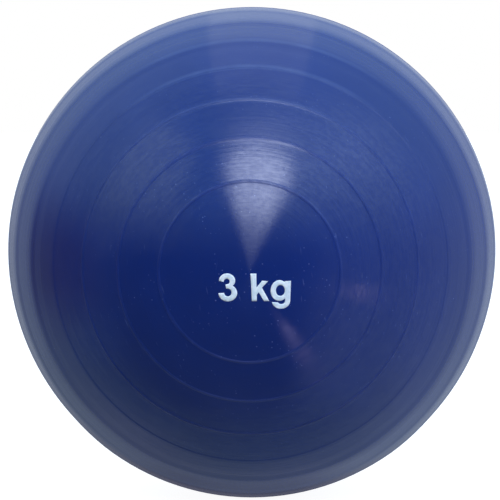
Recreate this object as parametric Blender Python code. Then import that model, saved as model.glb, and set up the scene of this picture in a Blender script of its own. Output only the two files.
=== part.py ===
# Weighted throwing ball: a hollow soft shell with raised grip rings, a charge of
# steel grit inside it, and the plug that closes the filler hole.
#
# Metres, +Z up, origin at the centre of the ball. The shell is turned about the Y
# axis: the front pole, which carries the printed mark, faces -Y, and the plug sits
# at the rear pole, +Y. Polar angles are counted from the front pole.

import math

import bpy
from mathutils import Vector

# Shell
BALL_RADIUS = 0.0600
SHELL_WALL = 0.0060

# Grip rings, raised from the shell on circles about the ring axis, alike on both halves
FIRST_RING_ANGLE = math.radians(20)
RING_PITCH = math.radians(10)
RING_HEIGHT = 0.00012
RING_CREST_WIDTH = 0.0003
RING_FLANK_WIDTH = 0.0004

# Seam on the equator, where the two halves of the mould met
SEAM_HEIGHT = 0.00012
SEAM_CREST_WIDTH = 0.0002
SEAM_FLANK_WIDTH = 0.00025

# Plain surface that stays between two raised bands, or a band and the plug's recess
BAND_SPACING = 0.0010

# Plug: a head that is flush with the ball, on a stem with one barb
PLUG_STEM_RADIUS = 0.0062
PLUG_FLANGE_WIDTH = 0.0048
PLUG_HEAD_DEPTH = 0.0040
PLUG_HEAD_CHAMFER = 0.0004
PLUG_TIP_LENGTH = 0.0025
PLUG_NOSE_CHAMFER = 0.0012
BARB_LENGTH = 0.0030
BARB_HEIGHT = 0.0008

# Filler neck, moulded inwards round the plug
NECK_WALL = 0.0030
NECK_STRAIGHT_LENGTH = 0.0050
NECK_PAST_PLUG = 0.0005
NECK_EDGE_CHAMFER = 0.0008
NECK_ROOT_FILLET = 0.0020
RECESS_EDGE_CHAMFER = 0.0003

# Charge of grit: how far below the top of the hollow it settles
GRIT_HEADSPACE = 0.0060

# Gaps between pieces that touch on the real ball
PLUG_GAP = 0.0003
GRIT_GAP = 0.0003

# Colours, as linear red, green and blue
SHELL_COLOUR = (0.004, 0.020, 0.158)
PLUG_COLOUR = (0.004, 0.017, 0.130)
GRIT_COLOUR = (0.190, 0.185, 0.180)

# Facets
TURN_STEPS = 48
ARC_STEP = math.radians(5)
WALL_ARC_STEP = math.radians(10)
FILLET_STEPS = 3
DOME_STEPS = 3
MERGE_DISTANCE = 0.00001

INNER_RADIUS = BALL_RADIUS - SHELL_WALL
GRIT_RADIUS = INNER_RADIUS - GRIT_GAP
PLUG_HEAD_RADIUS = PLUG_STEM_RADIUS + PLUG_FLANGE_WIDTH
RECESS_RADIUS = PLUG_HEAD_RADIUS + PLUG_GAP
RECESS_EDGE_RADIUS = RECESS_RADIUS + RECESS_EDGE_CHAMFER
BORE_RADIUS = PLUG_STEM_RADIUS + PLUG_GAP
NECK_RADIUS = RECESS_RADIUS + NECK_WALL


def sagitta(radius):
    """How far the ball's surface falls away from its pole at a distance from the axis."""
    return BALL_RADIUS - math.sqrt(BALL_RADIUS**2 - radius**2)


# The neck's root fillet touches the neck and the inner wall: its centre, and that
# centre's direction from the middle of the ball.
ROOT_ACROSS = NECK_RADIUS + NECK_ROOT_FILLET
ROOT_DOWN = -math.sqrt((INNER_RADIUS - NECK_ROOT_FILLET) ** 2 - ROOT_ACROSS**2)
ROOT_DIRECTION = math.atan2(ROOT_DOWN, ROOT_ACROSS)

# Depths along the ring axis, counted inwards from the rear pole
NECK_DEPTH = BALL_RADIUS + ROOT_DOWN + NECK_STRAIGHT_LENGTH
PLUG_DEPTH = NECK_DEPTH - NECK_PAST_PLUG
BARB_END_DEPTH = PLUG_DEPTH - PLUG_TIP_LENGTH
BARB_START_DEPTH = BARB_END_DEPTH - BARB_LENGTH


def clear_scene():
    for thing in list(bpy.data.objects):
        bpy.data.objects.remove(thing, do_unlink=True)


def material(name, colour, roughness, metallic=0.0):
    made = bpy.data.materials.new(name)
    made.use_nodes = True
    surface = made.node_tree.nodes["Principled BSDF"]
    surface.inputs["Base Color"].default_value = (*colour, 1.0)
    surface.inputs["Roughness"].default_value = roughness
    surface.inputs["Metallic"].default_value = metallic
    made.diffuse_color = (*colour, 1.0)
    return made


def polar_point(radius, angle):
    """Point of a profile at a distance from the centre and an angle from the front pole."""
    return (radius * math.sin(angle), radius * math.cos(angle))


def sphere_arc(radius, start, end, step=ARC_STEP):
    """Profile points from one polar angle to another, with stops at whole steps between."""
    low, high = sorted((start, end))
    inset = step / 4
    count = math.ceil(math.pi / step)
    stops = [step * i for i in range(count + 1) if low + inset < step * i < high - inset]
    angles = [low, *stops, high]
    if start > end:
        angles.reverse()
    return [polar_point(radius, angle) for angle in angles]


def fillet_arc(centre, radius, start, end):
    """Profile points of a rounded corner, between two directions from its centre."""
    points = []
    for i in range(FILLET_STEPS + 1):
        angle = start + (end - start) * i / FILLET_STEPS
        points.append((centre[0] + radius * math.cos(angle), centre[1] + radius * math.sin(angle)))
    return points


def raised_bands():
    """Angle, crest width, flank width and height of each raised band, front pole first."""
    ring_reach = (RING_CREST_WIDTH / 2 + RING_FLANK_WIDTH + BAND_SPACING) / BALL_RADIUS
    seam_reach = (SEAM_CREST_WIDTH / 2 + SEAM_FLANK_WIDTH) / BALL_RADIUS
    recess_reach = math.asin(RECESS_EDGE_RADIUS / BALL_RADIUS)
    bands = [(math.pi / 2, SEAM_CREST_WIDTH, SEAM_FLANK_WIDTH, SEAM_HEIGHT)]
    angle = FIRST_RING_ANGLE
    while angle + ring_reach < math.pi / 2 - seam_reach:
        ring = (RING_CREST_WIDTH, RING_FLANK_WIDTH, RING_HEIGHT)
        bands.append((angle, *ring))
        if angle - ring_reach > recess_reach:
            bands.append((math.pi - angle, *ring))
        angle += RING_PITCH
    return sorted(bands)


def shell_outside():
    """Front pole to the edge of the plug's recess, over every ring and the seam."""
    points = []
    reached = 0.0
    for angle, crest, flank, height in raised_bands():
        top = crest / 2 / BALL_RADIUS
        foot = (crest / 2 + flank) / BALL_RADIUS
        points += sphere_arc(BALL_RADIUS, reached, angle - foot)
        points.append(polar_point(BALL_RADIUS + height, angle - top))
        points.append(polar_point(BALL_RADIUS + height, angle + top))
        reached = angle + foot
    edge = math.pi - math.asin(RECESS_EDGE_RADIUS / BALL_RADIUS)
    return points + sphere_arc(BALL_RADIUS, reached, edge)


def neck_inside():
    """Recess, seat and barbed bore, from the outside inwards."""
    groove_radius = BORE_RADIUS + BARB_HEIGHT
    outline = [
        (RECESS_RADIUS, sagitta(RECESS_EDGE_RADIUS) + RECESS_EDGE_CHAMFER),
        (RECESS_RADIUS, PLUG_HEAD_DEPTH + PLUG_GAP),
        (BORE_RADIUS, PLUG_HEAD_DEPTH + PLUG_GAP),
        (BORE_RADIUS, BARB_START_DEPTH - PLUG_GAP),
        (groove_radius, BARB_START_DEPTH - PLUG_GAP),
        (BORE_RADIUS, BARB_END_DEPTH + PLUG_GAP),
        (BORE_RADIUS, NECK_DEPTH - NECK_EDGE_CHAMFER),
        (BORE_RADIUS + NECK_EDGE_CHAMFER, NECK_DEPTH),
        (NECK_RADIUS - NECK_EDGE_CHAMFER, NECK_DEPTH),
        (NECK_RADIUS, NECK_DEPTH - NECK_EDGE_CHAMFER),
    ]
    return [(radius, depth - BALL_RADIUS) for radius, depth in outline]


def shell_profile():
    """One closed wall: down the outside, in through the neck and back up the inside."""
    root = (ROOT_ACROSS, ROOT_DOWN)
    wall_start = math.pi / 2 - ROOT_DIRECTION
    points = shell_outside() + neck_inside()
    points += fillet_arc(root, NECK_ROOT_FILLET, -math.pi, ROOT_DIRECTION)
    points += sphere_arc(INNER_RADIUS, wall_start, 0.0, WALL_ARC_STEP)[1:]
    return points


def plug_profile():
    """Nose, barbed stem, head and a dome flush with the ball, from the rear pole inwards."""
    dome_radius = PLUG_HEAD_RADIUS - PLUG_HEAD_CHAMFER
    points = [
        (0.0, PLUG_DEPTH),
        (PLUG_STEM_RADIUS - PLUG_NOSE_CHAMFER, PLUG_DEPTH),
        (PLUG_STEM_RADIUS, PLUG_DEPTH - PLUG_NOSE_CHAMFER),
        (PLUG_STEM_RADIUS, BARB_END_DEPTH),
        (PLUG_STEM_RADIUS + BARB_HEIGHT, BARB_START_DEPTH),
        (PLUG_STEM_RADIUS, BARB_START_DEPTH),
        (PLUG_STEM_RADIUS, PLUG_HEAD_DEPTH),
        (PLUG_HEAD_RADIUS, PLUG_HEAD_DEPTH),
        (PLUG_HEAD_RADIUS, sagitta(PLUG_HEAD_RADIUS) + PLUG_HEAD_CHAMFER),
    ]
    for i in range(DOME_STEPS + 1):
        radius = dome_radius * (DOME_STEPS - i) / DOME_STEPS
        points.append((radius, sagitta(radius)))
    return points


def grit_profile():
    """The hollow's own outline less a gap, with a pocket round the neck."""
    root = (ROOT_ACROSS, ROOT_DOWN)
    pocket_radius = NECK_RADIUS + GRIT_GAP
    pocket_floor = NECK_DEPTH + GRIT_GAP - BALL_RADIUS
    points = sphere_arc(GRIT_RADIUS, 0.0, math.pi / 2 - ROOT_DIRECTION, WALL_ARC_STEP)
    points += fillet_arc(root, NECK_ROOT_FILLET - GRIT_GAP, ROOT_DIRECTION, -math.pi)[1:]
    return points + [(pocket_radius, pocket_floor), (0.0, pocket_floor)]


def turned(name, profile, finish, parent):
    """A profile, given as radius and height, revolved about its object's own Z axis."""
    mesh = bpy.data.meshes.new(name)
    corners = [(radius, 0.0, height) for radius, height in profile]
    edges = [(i, i + 1) for i in range(len(corners) - 1)]
    mesh.from_pydata(corners, edges, [])
    mesh.materials.append(finish)
    made = bpy.data.objects.new(name, mesh)
    bpy.context.scene.collection.objects.link(made)
    made.parent = parent
    screw = made.modifiers.new("Turn", "SCREW")
    screw.axis = "Z"
    screw.steps = TURN_STEPS
    screw.render_steps = TURN_STEPS
    screw.use_merge_vertices = True
    screw.merge_threshold = MERGE_DISTANCE
    screw.use_smooth_shade = True
    return made


def ring_axis_empty():
    """Stands the turned pieces' Z axis along -Y, so that the front pole faces -Y."""
    made = bpy.data.objects.new("ring_axis", None)
    bpy.context.scene.collection.objects.link(made)
    made.rotation_euler = (math.pi / 2, 0.0, 0.0)
    return made


def box_cutter(name, low, high):
    """A block for a Boolean cut, which isn't part of the ball."""
    corners = [Vector((x, y, z)) for x in (low.x, high.x) for y in (low.y, high.y) for z in (low.z, high.z)]
    faces = [(0, 1, 3, 2), (4, 6, 7, 5), (0, 4, 5, 1), (2, 3, 7, 6), (0, 2, 6, 4), (1, 5, 7, 3)]
    mesh = bpy.data.meshes.new(name)
    mesh.from_pydata(corners, [], faces)
    made = bpy.data.objects.new(name, mesh)
    bpy.context.scene.collection.objects.link(made)
    made.hide_render = True
    made.display_type = "WIRE"
    return made


def level_off(charge):
    """Cuts the charge flat at the level that the grit settles to."""
    level = INNER_RADIUS - GRIT_HEADSPACE
    low = Vector((-BALL_RADIUS, -BALL_RADIUS, level))
    high = Vector((BALL_RADIUS, BALL_RADIUS, BALL_RADIUS))
    cut = charge.modifiers.new("Level", "BOOLEAN")
    cut.operation = "DIFFERENCE"
    cut.object = box_cutter("headspace_cutter", low, high)


def build():
    clear_scene()
    axis = ring_axis_empty()

    shell_vinyl = material("shell_vinyl", SHELL_COLOUR, roughness=0.38)
    plug_vinyl = material("plug_vinyl", PLUG_COLOUR, roughness=0.48)
    steel = material("steel_grit", GRIT_COLOUR, roughness=0.55, metallic=0.9)

    turned("shell", shell_profile(), shell_vinyl, axis)

    plug = turned("fill_plug", plug_profile(), plug_vinyl, axis)
    plug.location = (0.0, 0.0, -BALL_RADIUS)

    charge = turned("steel_grit", grit_profile(), steel, axis)
    level_off(charge)


build()
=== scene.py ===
# Looks of the weighted throwing ball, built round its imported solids.
# Metres, Z up. The front pole, with the printed mark, faces -Y, and the filler plug is at the rear pole.
# Turned pieces are modelled about their own Z axis, which standOnAxis then lays along -Y.
import math

import bmesh
import bpy
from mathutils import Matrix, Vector, noise


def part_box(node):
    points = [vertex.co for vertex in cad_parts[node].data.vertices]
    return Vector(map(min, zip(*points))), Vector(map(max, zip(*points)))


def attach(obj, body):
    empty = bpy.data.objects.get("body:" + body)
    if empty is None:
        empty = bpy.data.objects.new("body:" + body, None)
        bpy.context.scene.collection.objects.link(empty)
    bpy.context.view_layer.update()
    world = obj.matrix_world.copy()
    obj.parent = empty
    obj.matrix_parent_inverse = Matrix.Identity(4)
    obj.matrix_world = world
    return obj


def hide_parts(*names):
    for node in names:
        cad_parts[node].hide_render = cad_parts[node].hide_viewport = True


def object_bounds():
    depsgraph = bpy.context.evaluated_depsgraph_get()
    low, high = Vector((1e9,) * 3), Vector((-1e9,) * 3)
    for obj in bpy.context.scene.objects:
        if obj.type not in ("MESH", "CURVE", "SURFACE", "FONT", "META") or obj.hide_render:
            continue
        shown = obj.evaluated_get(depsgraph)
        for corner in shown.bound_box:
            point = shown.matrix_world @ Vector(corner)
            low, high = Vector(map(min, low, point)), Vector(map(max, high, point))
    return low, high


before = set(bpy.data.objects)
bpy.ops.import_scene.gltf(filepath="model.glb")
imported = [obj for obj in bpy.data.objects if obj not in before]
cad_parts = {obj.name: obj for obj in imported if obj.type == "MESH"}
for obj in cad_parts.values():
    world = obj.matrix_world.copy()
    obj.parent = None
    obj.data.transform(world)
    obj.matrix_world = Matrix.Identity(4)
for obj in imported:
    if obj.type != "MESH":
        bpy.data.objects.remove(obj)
cadLow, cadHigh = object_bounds()
ballRadius = -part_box("shell")[0].y
print("frame loaded:", ", ".join(sorted(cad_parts)))

scene = bpy.context.scene
scene.view_settings.view_transform = "Standard"


# Soft dots: how gradually cells are chosen, and the share of a dot's radius at full strength
dotShape = {"pickSoft": 0.01, "core": 0.3}


class Signal:
    # A number that varies over a surface. Arithmetic on it adds Math nodes.

    def __init__(self, graph, socket):
        self.graph = graph
        self.socket = socket

    def math(self, operation, *others):
        return self.graph.math(operation, self, *others)

    def __add__(self, other):
        return self.math("ADD", other)

    def __sub__(self, other):
        return self.math("SUBTRACT", other)

    def __rsub__(self, other):
        return self.graph.math("SUBTRACT", other, self)

    def __mul__(self, other):
        return self.math("MULTIPLY", other)

    def __truediv__(self, other):
        return self.math("DIVIDE", other)

    def __rtruediv__(self, other):
        return self.graph.math("DIVIDE", other, self)

    __radd__ = __add__
    __rmul__ = __mul__

    def step(self, low, high):
        # 0 up to low, 1 from high on, smooth between. With high under low it falls instead.
        feeds = {"Value": self, "From Min": low, "From Max": high}
        made = self.graph.node("MapRange", {"interpolation_type": "SMOOTHSTEP"}, feeds)
        return Signal(self.graph, made.outputs[0])

    def atLeast(self, least):
        # From least, where the signal is 0, up to 1
        return least + self * (1 - least)


class Graph:
    # A node tree, emptied, with the one method that adds nodes to it.

    def __init__(self, tree):
        self.tree = tree
        tree.nodes.clear()

    def node(self, kind, settings, feeds):
        made = self.tree.nodes.new("ShaderNode" + kind)
        for key, setting in settings.items():
            setattr(made, key, setting)
        for key, feed in feeds.items():
            if isinstance(key, int):
                socket = made.inputs[key]
            else:
                socket = next(s for s in made.inputs if s.name == key and s.enabled)
            if isinstance(feed, Signal):
                feed = feed.socket
            if isinstance(feed, bpy.types.NodeSocket):
                self.tree.links.new(feed, socket)
            else:
                socket.default_value = feed
        return made

    def math(self, operation, *feeds):
        made = self.node("Math", {"operation": operation}, dict(enumerate(feeds)))
        return Signal(self, made.outputs[0])

    def parts(self, vector):
        made = self.node("SeparateXYZ", {}, {0: vector})
        return [Signal(self, socket) for socket in made.outputs]

    def point(self, x, y, z):
        return self.node("CombineXYZ", {}, {0: x, 1: y, 2: z}).outputs[0]

    def grain(self, vector, perMetre, detail):
        # Soft noise about 0.5
        feeds = {"Vector": vector, "Scale": perMetre, "Detail": detail}
        made = self.node("TexNoise", {"noise_dimensions": "3D"}, feeds)
        return Signal(self, made.outputs[0])

    def cells(self, vector, perMetre):
        # Distance from the middles of scattered cells, and three random numbers of each cell's own
        made = self.node("TexVoronoi", {"feature": "F1"}, {"Vector": vector, "Scale": perMetre})
        return Signal(self, made.outputs["Distance"]), self.parts(made.outputs["Color"])

    def dots(self, vector, layer):
        # Soft dots in a share of the cells, each of its own strength. The size is a share of a cell.
        distance, numbers = self.cells(vector, layer["perMetre"])
        pick, strength = numbers[:2]
        chosen = pick.step(layer["share"] + dotShape["pickSoft"], layer["share"] - dotShape["pickSoft"])
        dot = distance.step(layer["size"], layer["size"] * dotShape["core"])
        return dot * chosen * strength * layer["strength"]

    def along(self, vector, direction):
        made = self.node("VectorMath", {"operation": "DOT_PRODUCT"}, {0: vector, 1: direction})
        return Signal(self, made.outputs["Value"])

    def blend(self, factor, first, second, way="MIX"):
        settings = {"data_type": "RGBA", "blend_type": way}
        made = self.node("Mix", settings, {"Factor": factor, "A": first, "B": second})
        return next(s for s in made.outputs if s.enabled)

    def glow(self, factor, first, second):
        return self.blend(factor, first, second, "ADD")

    def relief(self, height, depth, before=None):
        # Bump from a 0 to 1 height that stands for depth metres
        feeds = {"Height": height, "Distance": depth}
        if before is not None:
            feeds["Normal"] = before
        return self.node("Bump", {}, feeds).outputs[0]

    def surface(self, **feeds):
        named = {key.replace("_", " "): feed for key, feed in feeds.items()}
        shader = self.node("BsdfPrincipled", {}, named)
        self.node("OutputMaterial", {}, {"Surface": shader.outputs[0]})


def newMaterial(name):
    made = bpy.data.materials.new(name)
    made.use_nodes = True
    return made, Graph(made.node_tree)


def towards(azimuth, elevation):
    # Azimuth 0 is the camera's side of the ball, and it grows towards +X.
    turn = math.radians(azimuth)
    climb = math.radians(elevation)
    level = math.cos(climb)
    return Vector((math.sin(turn) * level, -math.cos(turn) * level, math.sin(climb)))


def smooth(share):
    return share * share * (3 - 2 * share)


def step(value, low, high):
    # 0 up to low, 1 from high on, smooth between. With high under low it falls instead.
    return smooth(min(1, max(0, (value - low) / (high - low))))


# The skin of the ball, which the shell, the plug and the print share. It has the slow waves of a
# soft moulding, and the weight inside makes it bulge at the bottom and draws it in round the bulge.
skin = {
    "inkHeight": 0.00002,
    "waveDepth": 0.00005,
    "wavesPerRadius": 3.2,
    "lowest": Vector((0.0, -1.0, 0.0)),
    "bulge": 0.00028,
    "bulgeReach": (math.radians(8), math.radians(40)),
    "waist": 0.00035,
    "waistRise": (math.radians(35), math.radians(50)),
    "waistFall": (math.radians(108), math.radians(68)),
    "slack": 0.00001,  # a vertex that lies less than this under the ball's surface is on it
}
onAxis = 1e-7  # a radius under this is on the axis


def skinRadius(direction):
    unit = direction.normalized()
    wave = noise.noise(unit * skin["wavesPerRadius"])
    fromLowest = unit.angle(skin["lowest"])
    bulge = skin["bulge"] * (1 - step(fromLowest, *skin["bulgeReach"]))
    waist = skin["waist"] * step(fromLowest, *skin["waistRise"]) * step(fromLowest, *skin["waistFall"])
    return ballRadius - skin["inkHeight"] - skin["waveDepth"] * (0.5 + 0.5 * wave) + bulge - waist


def standOnAxis(name, mesh, material):
    mesh.materials.append(material)
    mesh.shade_smooth()
    made = bpy.data.objects.new(name, mesh)
    scene.collection.objects.link(made)
    made.rotation_euler = (math.pi / 2, 0, 0)
    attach(made, "root")
    return made


def turned(name, profile, steps):
    # The profile is radius and height. A point with no radius is one vertex, on the axis.
    bm = bmesh.new()
    rows = []
    for radius, height in profile:
        if radius < onAxis:
            rows.append([bm.verts.new((0, 0, height))] * steps)
            continue
        row = []
        for i in range(steps):
            angle = 2 * math.pi * i / steps
            row.append(bm.verts.new((radius * math.cos(angle), radius * math.sin(angle), height)))
        rows.append(row)
    for upper, lower in zip(rows, rows[1:]):
        for i in range(steps):
            j = (i + 1) % steps
            corners = []
            for corner in (upper[i], lower[i], lower[j], upper[j]):
                if corner not in corners:
                    corners.append(corner)
            bm.faces.new(corners)
    mesh = bpy.data.meshes.new(name)
    bm.to_mesh(mesh)
    bm.free()
    return mesh


def shiftSkin(mesh):
    # Lays what lies on the ball's surface, and the rings above it, on the wavy skin
    for vertex in mesh.vertices:
        above = vertex.co.length - ballRadius
        if above > -skin["slack"]:
            vertex.co = vertex.co.normalized() * (skinRadius(vertex.co) + above)


def onSphere(radius, polar):
    return (radius * math.sin(polar), radius * math.cos(polar))


def sphereRun(radius, start, end, stride):
    count = max(1, math.ceil(abs(end - start) / stride))
    return [onSphere(radius, start + (end - start) * i / count) for i in range(count + 1)]


def sagitta(radius):
    # How far the ball's surface falls away from its pole at a distance from the axis
    return ballRadius - math.sqrt(ballRadius**2 - radius**2)


def cornerRun(centre, radius, start, end, count):
    points = []
    for i in range(count + 1):
        angle = start + (end - start) * i / count
        points.append((centre[0] + radius * math.cos(angle), centre[1] + radius * math.sin(angle)))
    return points


# Shell

shell = {
    "wall": 0.0060,
    "firstRing": math.radians(20),
    "ringPitch": math.radians(10),
    "ringHeight": 0.000065,
    "ringCrest": 0.0001,
    "ringFlank": 0.00045,
    "softReach": (math.radians(48), math.radians(60)),  # the rings grow softer between these
    "softRise": 0.0024,  # how much wider that makes a ring's flank on its pole side
    "softHeight": 0.000095,  # and how much higher the ring
    "fallReach": (math.radians(42), math.radians(57)),  # the flanks towards the equator, sooner
    "softFall": 0.0052,
    "seamHeight": 0.00012,
    "seamCrest": 0.0002,
    "seamFlank": 0.00025,
    "recessRadius": 0.0113,
    "recessEdge": 0.0003,
    "seatDepth": 0.0043,
    "boreRadius": 0.0065,
    "neckRadius": 0.0143,
    "neckStraight": 0.0050,
    "neckEdge": 0.0008,
    "neckRoot": 0.0020,
    "turnSteps": 144,
    "plainStep": math.radians(1.25),
    "wallStep": math.radians(5),
    "flankSteps": 6,
    "rootSteps": 6,
}


def raisedBands():
    # Angle, crest width, the widths of the flanks before and after it, and height
    seamFlank = shell["seamFlank"]
    bands = [(math.pi / 2, shell["seamCrest"], seamFlank, seamFlank, shell["seamHeight"])]
    angle = shell["firstRing"]
    while angle < math.pi / 2 - shell["ringPitch"] / 2:
        soft = step(angle, *shell["softReach"])
        rise = shell["ringFlank"] + shell["softRise"] * soft
        fall = shell["ringFlank"] + shell["softFall"] * step(angle, *shell["fallReach"])
        height = shell["ringHeight"] + shell["softHeight"] * soft
        bands.append((angle, shell["ringCrest"], rise, fall, height))
        bands.append((math.pi - angle, shell["ringCrest"], fall, rise, height))
        angle += shell["ringPitch"]
    return sorted(bands)


def flankRun(angle, crest, flank, height):
    # From the foot of a rounded flank up to the edge of its crest. A negative flank lies after the crest.
    points = []
    side = math.copysign(1, flank)
    for i in range(shell["flankSteps"] + 1):
        share = i / shell["flankSteps"]
        offset = side * crest / 2 + flank * (1 - share)
        points.append(onSphere(ballRadius + height * smooth(share), angle - offset / ballRadius))
    return points


def shellProfile():
    points = []
    reached = 0.0
    for angle, crest, before, after, height in raisedBands():
        foot = angle - (crest / 2 + before) / ballRadius
        points += sphereRun(ballRadius, reached, foot, shell["plainStep"])[:-1]
        points += flankRun(angle, crest, before, height)
        points += flankRun(angle, crest, -after, height)[:0:-1]
        reached = angle + (crest / 2 + after) / ballRadius
    edgeRadius = shell["recessRadius"] + shell["recessEdge"]
    recessEdge = math.pi - math.asin(edgeRadius / ballRadius)
    points += sphereRun(ballRadius, reached, recessEdge, shell["plainStep"])

    # Recess, seat and bore, with depths from the rear pole
    inner = ballRadius - shell["wall"]
    across = shell["neckRadius"] + shell["neckRoot"]
    down = -math.sqrt((inner - shell["neckRoot"]) ** 2 - across**2)
    neckDepth = ballRadius + down + shell["neckStraight"]
    neck = [
        (shell["recessRadius"], sagitta(edgeRadius) + shell["recessEdge"]),
        (shell["recessRadius"], shell["seatDepth"]),
        (shell["boreRadius"], shell["seatDepth"]),
        (shell["boreRadius"], neckDepth - shell["neckEdge"]),
        (shell["boreRadius"] + shell["neckEdge"], neckDepth),
        (shell["neckRadius"] - shell["neckEdge"], neckDepth),
        (shell["neckRadius"], neckDepth - shell["neckEdge"]),
    ]
    points += [(radius, depth - ballRadius) for radius, depth in neck]

    # Root of the neck and the inside of the wall
    direction = math.atan2(down, across)
    points += cornerRun((across, down), shell["neckRoot"], -math.pi, direction, shell["rootSteps"])
    points += sphereRun(inner, math.pi / 2 - direction, 0.0, shell["wallStep"])[1:]
    return points


vinyl = {
    "deepBlue": (0.0010, 0.0165, 0.1375, 1),
    "lightBlue": (0.0028, 0.0200, 0.1540, 1),
    "crestBlue": (0.0160, 0.0380, 0.2200, 1),
    "crestHighlightBlue": (0.0300, 0.0540, 0.1920, 1),
    "speckBlue": (0.1100, 0.1500, 0.3600, 1),
    "roughness": 0.18,
    "anisotropic": 0.94,
    "turnedAcross": 0.25,  # a quarter turn puts the long axis of the gloss across the turning marks
    "ior": 1.5,
    # Turning marks: how many pass along a radian from the pole, and how fast they change round the axis
    "lines": {"perRadian": 95, "round": 0.9, "detail": 1.0},
    "fineLines": {"perRadian": 240, "round": 2.5, "detail": 2.0},
    "dashes": {"perRadian": 110, "round": 9, "detail": 3.0},
    "lineDepth": 0.000030,
    "fineLineDepth": 0.000006,
    "lineRoughness": 0.08,
    "faintReach": (math.radians(23), math.radians(9.2)),  # the lines are fainter round the front pole
    "faintBy": 0.7,
    # Uneven colour and gloss
    "cloud": {"perMetre": 45, "detail": 3.0},
    "cloudReach": (0.3, 0.7),
    "cloudRoughness": 0.05,
    "grain": {"perMetre": 2600, "detail": 2.0},
    "grainDepth": 0.000006,
    "grainRoughness": 0.04,
    # Handling has polished the skin, most of all round the poles, where the ball is held
    "polish": 0.32,  # weight of the coat
    "polishRoughness": 0.11,
    "polishDashes": 0.5,  # the share of its pattern that follows the dashes. The rest is mottled.
    "polishReach": (0.40, 0.62),
    "mottle": {"perMetre": 1100, "detail": 3.0},
    "handledReach": (math.radians(62), math.radians(38)),
    "handledLeast": 0.2,
    # The inner rings are duller, and paler in patches. Widths are distances from a ring's middle,
    # where it is gone and where it is full.
    "dullWidth": (0.00064, 0.00014),
    "dullReach": (math.radians(52), math.radians(41)),
    "ringRoughness": 0.18,
    "crestShare": 0.2,
    "beforeRings": (0.4, 0.3),  # where they start, in pitches before the first
    "patches": {"perMetre": 180, "detail": 3.0},
    "patchReach": (0.35, 0.65),
    # The middle rings' crests are painted paler on top: a painted highlight where light from above falls on
    # them
    "crestHighlightWidth": (0.0012, 0.0002),
    "crestHighlightReach": (math.radians(30), math.radians(48)),
    "crestHighlightFade": (math.radians(72), math.radians(52)),
    "crestHighlightTop": (0.74, 0.98),  # share of a point's distance from the axis that is upward
    "crestHighlightLeast": 0.7,
    # Specks, dust and scratches
    "specks": {"perMetre": 260, "size": 0.05, "share": 0.5, "strength": 0.8},
    "dust": {"perMetre": 850, "size": 0.17, "share": 0.9, "strength": 1.2},
    "dustReach": (math.radians(42), math.radians(14)),
    "dustLeast": 0.2,
    "dustPatches": {"perMetre": 90, "detail": 2.0},
    "dustPatchReach": (0.42, 0.58),
    "scratches": {"perMetre": 900, "size": 0.14, "share": 0.9, "strength": 0.45},
    "scratchLean": 0.2,
    "scratchStretch": 9,
    "scratchWander": 0.016,
    "wander": {"perMetre": 32, "detail": 2.0},
}
poleGuard = 1e-10  # keeps the distance from the axis above zero


def axisFields(graph, place):
    # The angle from the front pole, and the direction away from the axis as x and y
    x, y, z = graph.parts(place)
    radial = graph.math("SQRT", x * x + y * y + poleGuard)
    return graph.math("ARCTAN2", radial, z), x / radial, y / radial


def turningMarks(graph, polar, sideways, upward, marks):
    # Noise drawn out into rings round the axis
    around = marks["round"]
    stretched = graph.point(sideways * around, upward * around, polar * marks["perRadian"])
    return graph.grain(stretched, 1.0, marks["detail"])


def scratchMarks(graph, place):
    # Short scratches, all leaning one way and a little bent
    x, y, z = graph.parts(place)
    wander = (graph.grain(place, **vinyl["wander"]) - 0.5) * vinyl["scratchWander"]
    stretched = graph.point(x + y * vinyl["scratchLean"] + wander, y / vinyl["scratchStretch"], z)
    return graph.dots(stretched, vinyl["scratches"])


def ringMask(graph, polar, fromPole, widths):
    # 0 beyond the first width from a ring's middle and 1 within the second, with nothing at the poles
    pitch = shell["ringPitch"]
    outer, inner = widths
    starts = [shell["firstRing"] - pitch * before for before in vinyl["beforeRings"]]
    nearest = graph.math("PINGPONG", polar, pitch / 2)
    return nearest.step(outer / ballRadius, inner / ballRadius) * fromPole.step(*starts)


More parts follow.
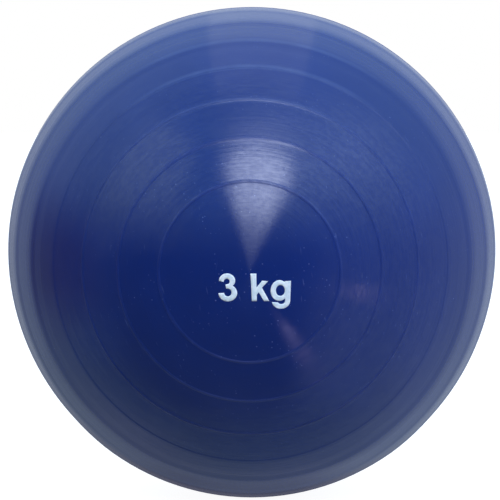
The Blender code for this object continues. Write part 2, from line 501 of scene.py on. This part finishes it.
def vinylMaterial():
    made, graph = newMaterial("turnedVinyl")
    place = graph.node("TexCoord", {}, {}).outputs["Object"]
    polar, sideways, upward = axisFields(graph, place)
    fromPole = graph.math("PINGPONG", polar, math.pi / 2)

    faint = polar.step(*vinyl["faintReach"]) * vinyl["faintBy"]
    lines = turningMarks(graph, polar, sideways, upward, vinyl["lines"]) * (1 - faint)
    fineLines = turningMarks(graph, polar, sideways, upward, vinyl["fineLines"])
    dashes = turningMarks(graph, polar, sideways, upward, vinyl["dashes"])
    cloud = graph.grain(place, **vinyl["cloud"])
    grain = graph.grain(place, **vinyl["grain"])
    mottle = graph.grain(place, **vinyl["mottle"])

    handled = fromPole.step(*vinyl["handledReach"])
    pattern = dashes * vinyl["polishDashes"] + mottle * (1 - vinyl["polishDashes"])
    polish = pattern.step(*vinyl["polishReach"]) * handled.atLeast(vinyl["handledLeast"])

    dull = ringMask(graph, polar, fromPole, vinyl["dullWidth"]) * fromPole.step(*vinyl["dullReach"])
    patchy = graph.grain(place, **vinyl["patches"]).step(*vinyl["patchReach"])
    # Painted highlight: the crests of the middle rings are painted paler towards the top of the ball, where
    # light from above falls on them
    crestHighlightZone = fromPole.step(*vinyl["crestHighlightReach"]) * fromPole.step(*vinyl["crestHighlightFade"])
    crestHighlightZone = crestHighlightZone * patchy.atLeast(vinyl["crestHighlightLeast"])
    crestHighlight = ringMask(graph, polar, fromPole, vinyl["crestHighlightWidth"]) * crestHighlightZone
    crestHighlight = crestHighlight * upward.step(*vinyl["crestHighlightTop"])

    specks = graph.dots(place, vinyl["specks"])
    dusty = fromPole.step(*vinyl["dustReach"]).atLeast(vinyl["dustLeast"])
    dusty = dusty * graph.grain(place, **vinyl["dustPatches"]).step(*vinyl["dustPatchReach"])
    dust = graph.dots(place, vinyl["dust"]) * dusty
    scratches = scratchMarks(graph, place) * handled

    colour = graph.blend(cloud.step(*vinyl["cloudReach"]), vinyl["deepBlue"], vinyl["lightBlue"])
    colour = graph.blend(dull * patchy * vinyl["crestShare"], colour, vinyl["crestBlue"])
    # Painted highlight on the upper crests of the middle rings
    colour = graph.blend(crestHighlight, colour, vinyl["crestHighlightBlue"])
    for layer in (specks, dust, scratches):
        colour = graph.blend(layer, colour, vinyl["speckBlue"])

    normal = graph.relief(lines, vinyl["lineDepth"])
    normal = graph.relief(fineLines, vinyl["fineLineDepth"], normal)
    normal = graph.relief(grain, vinyl["grainDepth"], normal)
    roughness = vinyl["roughness"] + (cloud - 0.5) * vinyl["cloudRoughness"]
    roughness = roughness + (grain - 0.5) * vinyl["grainRoughness"] + (lines - 0.5) * vinyl["lineRoughness"]
    graph.surface(
        Base_Color=colour,
        Roughness=roughness + dull * vinyl["ringRoughness"],
        IOR=vinyl["ior"],
        Anisotropic=vinyl["anisotropic"],
        Anisotropic_Rotation=vinyl["turnedAcross"],
        Coat_Weight=polish * vinyl["polish"],
        Coat_Roughness=vinyl["polishRoughness"],
        Normal=normal,
    )
    return made


shellMesh = turned("ballShell", shellProfile(), shell["turnSteps"])
shiftSkin(shellMesh)
ballShell = standOnAxis("ballShell", shellMesh, vinylMaterial())
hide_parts("shell")
print("shell made:", len(shellMesh.polygons), "faces")


# Filler plug

plug = {
    "headRadius": 0.0110,
    "headDepth": 0.0040,
    "edgeRound": 0.0005,
    "stemRadius": 0.0062,
    "barbHeight": 0.0008,
    "barbLength": 0.0030,
    "tipLength": 0.0025,
    "noseChamfer": 0.0012,
    "turnSteps": 96,
    "domeSteps": 12,
    "edgeSteps": 4,
}


def plugProfile():
    # From the middle of the head outwards, and down the stem to the nose
    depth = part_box("fill_plug")[1].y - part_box("fill_plug")[0].y
    points = []
    edge = plug["headRadius"] - plug["edgeRound"]
    for i in range(plug["domeSteps"] + 1):
        radius = edge * i / plug["domeSteps"]
        points.append((radius, sagitta(radius)))
    drop = sagitta(edge)
    for i in range(1, plug["edgeSteps"] + 1):
        angle = math.pi / 2 * i / plug["edgeSteps"]
        outwards = plug["edgeRound"] * math.sin(angle)
        down = plug["edgeRound"] * (1 - math.cos(angle))
        points.append((edge + outwards, drop + down))
    barbEnd = depth - plug["tipLength"]
    points += [
        (plug["headRadius"], plug["headDepth"]),
        (plug["stemRadius"], plug["headDepth"]),
        (plug["stemRadius"], barbEnd - plug["barbLength"]),
        (plug["stemRadius"] + plug["barbHeight"], barbEnd - plug["barbLength"]),
        (plug["stemRadius"], barbEnd),
        (plug["stemRadius"], depth - plug["noseChamfer"]),
        (plug["stemRadius"] - plug["noseChamfer"], depth),
        (0.0, depth),
    ]
    return [(radius, down - ballRadius) for radius, down in points][::-1]


plugVinyl = {
    "deepBlue": (0.0035, 0.0105, 0.1050, 1),
    "lightBlue": (0.0060, 0.0150, 0.1250, 1),
    "roughness": 0.38,
    "cloud": {"perMetre": 160, "detail": 4.0},
    "cloudReach": (0.3, 0.7),
    "cloudRoughness": 0.12,
    "grain": {"perMetre": 1800, "detail": 3.0},
    "grainDepth": 0.000012,
}


def plugMaterial():
    made, graph = newMaterial("plugVinyl")
    place = graph.node("TexCoord", {}, {}).outputs["Object"]
    cloud = graph.grain(place, **plugVinyl["cloud"])
    grain = graph.grain(place, **plugVinyl["grain"])
    shade = cloud.step(*plugVinyl["cloudReach"])
    graph.surface(
        Base_Color=graph.blend(shade, plugVinyl["deepBlue"], plugVinyl["lightBlue"]),
        Roughness=plugVinyl["roughness"] + (cloud - 0.5) * plugVinyl["cloudRoughness"],
        IOR=vinyl["ior"],
        Normal=graph.relief(grain, plugVinyl["grainDepth"]),
    )
    return made


plugMesh = turned("fillerPlug", plugProfile(), plug["turnSteps"])
shiftSkin(plugMesh)
fillerPlug = standOnAxis("fillerPlug", plugMesh, plugMaterial())
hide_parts("fill_plug")
print("plug made:", len(plugMesh.polygons), "faces")


# Steel grit, whose CAD solid stays

grit = {
    "dark": (0.055, 0.052, 0.050, 1),
    "light": (0.340, 0.325, 0.310, 1),
    "perMetre": 900,
    # Painted shade: each grain is painted darker from its middle out, as shade in the gaps between grains
    "gapShadeReach": (0.7, 0.2),  # in cells from a grain's middle: dark beyond the first
    "depth": 0.0006,
    "roughness": 0.45,
    "roughnessSpread": 0.3,
    "metallic": 0.9,
}


def gritMaterial():
    made, graph = newMaterial("steelGrit")
    place = graph.node("TexCoord", {}, {}).outputs["Object"]
    distance, numbers = graph.cells(place, grit["perMetre"])
    shade = numbers[0]
    # Painted shade between the grains, over a random tone for each grain
    lit = shade * distance.step(*grit["gapShadeReach"])
    graph.surface(
        Base_Color=graph.blend(lit, grit["dark"], grit["light"]),
        Roughness=grit["roughness"] + shade * grit["roughnessSpread"],
        Metallic=grit["metallic"],
        Normal=graph.relief(1 - distance, grit["depth"]),
    )
    return made


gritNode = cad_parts["steel_grit"]
gritNode.data.materials.clear()
gritNode.data.materials.append(gritMaterial())
print("grit dressed")


# Printed mark: the ball's mass. Each character is drawn in millimetres, from the left end of its
# baseline, and the places are in millimetres from the front pole.

mark = {
    "baseline": -6.19,
    "three": -6.96,
    "k": 0.21,
    "g": 4.75,
    "gridStep": 0.5,
    "gridReach": 12,
}
millimetre = 0.001
markSink = 0.00004  # metres that the film reaches into the skin


def arc(centre, radii, start, end, steps=16):
    points = []
    for i in range(steps + 1):
        angle = math.radians(start + (end - start) * i / steps)
        points.append((centre[0] + radii[0] * math.cos(angle), centre[1] + radii[1] * math.sin(angle)))
    return points


def threeOutline():
    return [
        arc((1.96, 4.63), (1.83, 1.63), 183, -46)
        + arc((2.11, 1.83), (2.11, 1.93), 58, -178)
        + arc((2.10, 1.94), (0.84, 0.90), -173, 90)
        + [(1.74, 2.84), (1.60, 3.75)]
        + arc((1.87, 4.43), (0.67, 0.62), -80, 190)
    ]


def kOutline():
    stem = [(0.33, 0.00), (0.02, 6.23), (1.34, 6.23), (1.38, 3.11)]
    arm = [(2.63, 4.64), (3.96, 4.50)]
    leg = [(2.60, 3.05), (4.25, 0.00), (3.06, 0.00), (1.88, 1.99), (1.44, 1.48), (1.44, 0.00)]
    return [stem + arm + leg]


def gOutline():
    stem = [(3.11, 4.50), (4.55, 4.54)]
    hook = arc((2.34, 0.02), (2.07, 1.82), 0, -172) + arc((2.40, 0.04), (0.84, 0.75), -150, 0)
    bowl = arc((1.96, 2.38), (1.97, 2.36), -50, -306, 28)
    counter = arc((2.18, 2.39), (1.01, 1.235), 0, 345, 23)
    return [stem + hook + bowl, counter]


def fillCharacter(bm, outlines, left):
    # Fills the outlines of one character, flat
    edges = []
    for outline in outlines:
        loop = []
        for x, y in outline:
            loop.append(bm.verts.new(((left + x) * millimetre, (mark["baseline"] + y) * millimetre, 0)))
        for i in range(len(loop)):
            edges.append(bm.edges.new((loop[i], loop[(i + 1) % len(loop)])))
    bmesh.ops.triangle_fill(bm, edges=edges, use_beauty=True, use_dissolve=True, normal=(0, 0, 1))


def markMesh():
    # Cuts the flat film into small faces and lays both of its sides on the ball
    bm = bmesh.new()
    fillCharacter(bm, threeOutline(), mark["three"])
    fillCharacter(bm, kOutline(), mark["k"])
    fillCharacter(bm, gOutline(), mark["g"])
    reach = int(mark["gridReach"] / mark["gridStep"])
    for i in range(-reach, reach + 1):
        offset = (i + 0.5) * mark["gridStep"] * millimetre
        for axis in (Vector((1, 0, 0)), Vector((0, 1, 0))):
            everything = bm.verts[:] + bm.edges[:] + bm.faces[:]
            bmesh.ops.bisect_plane(bm, geom=everything, plane_co=axis * offset, plane_no=axis)
    front = bm.faces[:]
    for vertex in bm.verts:
        across = vertex.co.copy()
        vertex.co.z = math.sqrt(ballRadius**2 - across.length_squared)
        vertex.co = vertex.co.normalized() * (skinRadius(vertex.co) + skin["inkHeight"])
    made = bmesh.ops.extrude_face_region(bm, geom=front)
    for vertex in [piece for piece in made["geom"] if isinstance(piece, bmesh.types.BMVert)]:
        vertex.co -= vertex.co.normalized() * (skin["inkHeight"] + markSink)
    bmesh.ops.recalc_face_normals(bm, faces=bm.faces[:])
    mesh = bpy.data.meshes.new("massMark")
    bm.to_mesh(mesh)
    bm.free()
    return mesh


ink = {
    "pale": (0.930, 0.920, 0.930, 1),
    "shade": (0.725, 0.785, 0.835, 1),
    "roughness": 0.42,
    "mottle": {"perMetre": 900, "detail": 3.0},
    "mottleReach": (0.35, 0.7),
    "mottleRoughness": 0.1,
    "mottleDepth": 0.000006,
}


def inkMaterial():
    made, graph = newMaterial("markInk")
    place = graph.node("TexCoord", {}, {}).outputs["Object"]
    mottle = graph.grain(place, **ink["mottle"])
    graph.surface(
        Base_Color=graph.blend(mottle.step(*ink["mottleReach"]), ink["shade"], ink["pale"]),
        Roughness=ink["roughness"] + (mottle - 0.5) * ink["mottleRoughness"],
        Normal=graph.relief(mottle, ink["mottleDepth"]),
    )
    return made


massMark = standOnAxis("massMark", markMesh(), inkMaterial())
print("mark made")


# Floor, room light and softboxes

studio = {
    "floorRadius": 2.5,
    "floorSteps": 96,
    "floorColour": (0.30, 0.30, 0.30, 1),
    "floorGlow": 0.94,
    "wall": (0.255, 0.355, 0.49, 1),
    "ceiling": {"from": -0.10, "to": 0.90, "colour": (0.15, 0.37, 0.54, 1)},
}

# Round patches of the room, in degrees as seen from the ball. Each lies at an azimuth and an
# elevation, and is full within core of its middle and gone beyond edge.
backGlow = {"at": (205, 37), "edge": 96, "core": 2, "colour": (0.22, 0.21, 0.26, 1)}
roundGlows = {
    "farBehind": {"at": (182, 5), "edge": 34, "core": 2, "colour": (0.26, 0.24, 0.22, 1)},
    "below": {"at": (0, -90), "edge": 70, "core": 10, "colour": (0.02, 0.03, 0.05, 1)},
    "violetCard": {"at": (19.4, -33), "edge": 3.1, "core": 0.8, "colour": (3.3, 2.9, 4.8, 1)},
    "violetTail": {"at": (28.7, -42), "edge": 5, "core": 1, "colour": (0.9, 0.7, 1.1, 1)},
    "pinkCard": {"at": (52, -15), "edge": 5, "core": 2, "colour": (1.2, 0.9, 1.2, 1)},
}

# Square patches, with half their width and height, and half the width of their soft edge
paleWalls = {
    "left": {"at": (-57, 26), "half": (21, 28), "soft": 4, "colour": (0.58, 0.66, 0.50, 1)},
    "right": {"at": (44, 42), "half": (48, 18), "soft": 30, "colour": (1.00, 1.23, 1.68, 1)},
    "low": {"at": (2, -30), "half": (53, 29), "soft": 25, "colour": (0.44, 0.45, 0.46, 1)},
    "rightBack": {"at": (118, -18), "half": (50, 37), "soft": 25, "colour": (0.24, 0.27, 0.37, 1)},
    "lowBack": {"at": (198, -50), "half": (45, 13), "soft": 13, "colour": (0.13, 0.10, 0.17, 1)},
}
shadedWalls = {
    "front": {"at": (-20, -30), "half": (59, 47), "soft": 20, "colour": (0.115, 0.115, 0.02, 1)},
    "left": {"at": (-99, -4), "half": (22, 16), "soft": 11, "colour": (0.20, 0.14, 0.04, 1)},
    "under": {"at": (183, -25), "half": (14, 14), "soft": 8, "colour": (0.14, 0.145, 0.24, 1)},
}

# The main softbox, in front and above: a wedge that opens upwards from its tip, with fading sides.
# Tip and reaches are parts of a direction's length, and the sides are slopes off upright.
softbox = {
    "tip": (-0.009, -0.082),
    "leftOut": -0.375,
    "leftIn": -0.080,
    "rightIn": 0.240,
    "rightOut": 0.630,
    "dimOnLeft": 0.24,
    "nearGlow": 0.23,  # how bright the near end is beside the rest
    "glowReach": (-0.05, 0.33),
    "nearReach": (0.29, 0.61),
    "farReach": (0.905, 0.875),
    "middle": 0.07,
    "cornerRound": 0.80,  # how much nearer the far end is at the sides
    "tipEdge": (0.0, 0.02),
    "frontEdge": (0.0, -0.05),  # it ends beside the ball, and nothing of it lies behind
    "colour": (5.6, 6.1, 7.8, 1),
}
backPanel = {"at": (0.04, 0.82, 1.00), "size": (0.52, 2.00), "radiance": 0.26}


def addFloor():
    made, graph = newMaterial("paleFloor")
    matt = graph.node("BsdfDiffuse", {}, {"Color": studio["floorColour"]})
    glow = graph.node("Emission", {}, {"Color": (1, 1, 1, 1), "Strength": studio["floorGlow"]})
    both = graph.node("AddShader", {}, {0: matt.outputs[0], 1: glow.outputs[0]})
    graph.node("OutputMaterial", {}, {"Surface": both.outputs[0]})
    mesh = bpy.data.meshes.new("floor")
    bm = bmesh.new()
    bmesh.ops.create_circle(
        bm, cap_ends=True, segments=studio["floorSteps"], radius=studio["floorRadius"]
    )
    bm.to_mesh(mesh)
    bm.free()
    mesh.materials.append(made)
    floor = bpy.data.objects.new("floor", mesh)
    scene.collection.objects.link(floor)
    floor.location.z = cadLow.z - skin["bulge"]
    floor.visible_glossy = False
    floor.visible_diffuse = False


def wallMask(graph, seen, wall):
    # 1 inside a square patch of the room, with soft edges
    azimuth, elevation = wall["at"]
    ahead = graph.along(seen, towards(azimuth, 0))
    beside = graph.along(seen, towards(azimuth + 90, 0))
    turn = graph.math("ABSOLUTE", graph.math("ARCTAN2", beside, ahead))
    climb = graph.math("ABSOLUTE", graph.math("ARCSINE", graph.parts(seen)[2]) - math.radians(elevation))
    soft = math.radians(wall["soft"])
    across, up = [math.radians(size) for size in wall["half"]]
    return turn.step(across + soft, across - soft) * climb.step(up + soft, up - soft)


def coneMask(graph, seen, cone):
    # 1 inside a round patch of the room, with a soft edge
    reach = [math.cos(math.radians(cone[limit])) for limit in ("edge", "core")]
    return graph.along(seen, towards(*cone["at"])).step(*reach)


def softboxMask(graph, seen):
    x, y, z = graph.parts(seen)
    across = x - softbox["tip"][0]
    up = z - softbox["tip"][1]
    slope = across / up
    reach = graph.math("SQRT", across * across + up * up)
    aside = slope - softbox["middle"]
    left = slope.step(softbox["leftOut"], softbox["leftIn"])
    right = slope.step(softbox["rightOut"], softbox["rightIn"])
    glow = reach.step(*softbox["glowReach"]) * softbox["nearGlow"]
    full = reach.step(*softbox["nearReach"]) * (1 - softbox["nearGlow"])
    mask = left * right * (glow + full) * up.step(*softbox["tipEdge"])
    mask = mask * (reach + aside * aside * softbox["cornerRound"]).step(*softbox["farReach"])
    dim = 1 - slope.step(softbox["rightIn"], softbox["leftOut"]) * softbox["dimOnLeft"]
    return mask * dim * y.step(*softbox["frontEdge"])


def addRoom():
    # The camera sees a white room. The ball sees pale walls with shaded patches, cards and the softbox.
    world = bpy.data.worlds.new("room")
    scene.world = world
    world.use_nodes = True
    graph = Graph(world.node_tree)
    seen = graph.node("TexCoord", {}, {}).outputs["Generated"]
    colour = graph.glow(coneMask(graph, seen, backGlow), studio["wall"], backGlow["colour"])
    for wall in paleWalls.values():
        colour = graph.glow(wallMask(graph, seen, wall), colour, wall["colour"])
    for wall in shadedWalls.values():
        colour = graph.blend(wallMask(graph, seen, wall), colour, wall["colour"])
    height = graph.parts(seen)[2]
    ceiling = studio["ceiling"]
    colour = graph.glow(height.step(ceiling["from"], ceiling["to"]), colour, ceiling["colour"])
    for cone in roundGlows.values():
        colour = graph.glow(coneMask(graph, seen, cone), colour, cone["colour"])
    colour = graph.glow(softboxMask(graph, seen), colour, softbox["colour"])
    light = graph.node("Background", {}, {"Color": colour})
    white = graph.node("Background", {}, {"Color": (1, 1, 1, 1)})
    eye = graph.node("LightPath", {}, {}).outputs["Is Camera Ray"]
    both = graph.node("MixShader", {}, {0: eye, 1: light.outputs[0], 2: white.outputs[0]})
    graph.node("OutputWorld", {}, {"Surface": both.outputs[0]})


def addPanel(name, panel):
    # A level panel overhead, shining down
    light = bpy.data.lights.new(name, "AREA")
    light.shape = "RECTANGLE"
    light.size, light.size_y = panel["size"]
    light.energy = panel["radiance"] * math.pi * light.size * light.size_y
    made = bpy.data.objects.new(name, light)
    scene.collection.objects.link(made)
    made.location = panel["at"]


addFloor()
addRoom()
addPanel("backPanel", backPanel)
print("studio lit")


# Camera, at the photograph's angle. The shift puts the ball's middle at its place in the frame.

view = {
    "distance": 0.620,
    "azimuth": 0.53,
    "elevation": 4.75,
    "lens": 180.9,
    "sensor": 36.0,
    "framePixels": 500,
    "middle": (251.9, 251.6),
}


def addCamera():
    camera = bpy.data.cameras.new("camera")
    camera.lens = view["lens"]
    camera.sensor_width = view["sensor"]
    camera.shift_x = (view["framePixels"] / 2 - view["middle"][0]) / view["framePixels"]
    camera.shift_y = (view["middle"][1] - view["framePixels"] / 2) / view["framePixels"]
    made = bpy.data.objects.new("camera", camera)
    scene.collection.objects.link(made)
    outwards = towards(view["azimuth"], view["elevation"])
    made.location = outwards * view["distance"]
    made.rotation_euler = (-outwards).to_track_quat("-Z", "Y").to_euler()
    scene.camera = made


addCamera()
print("camera set")
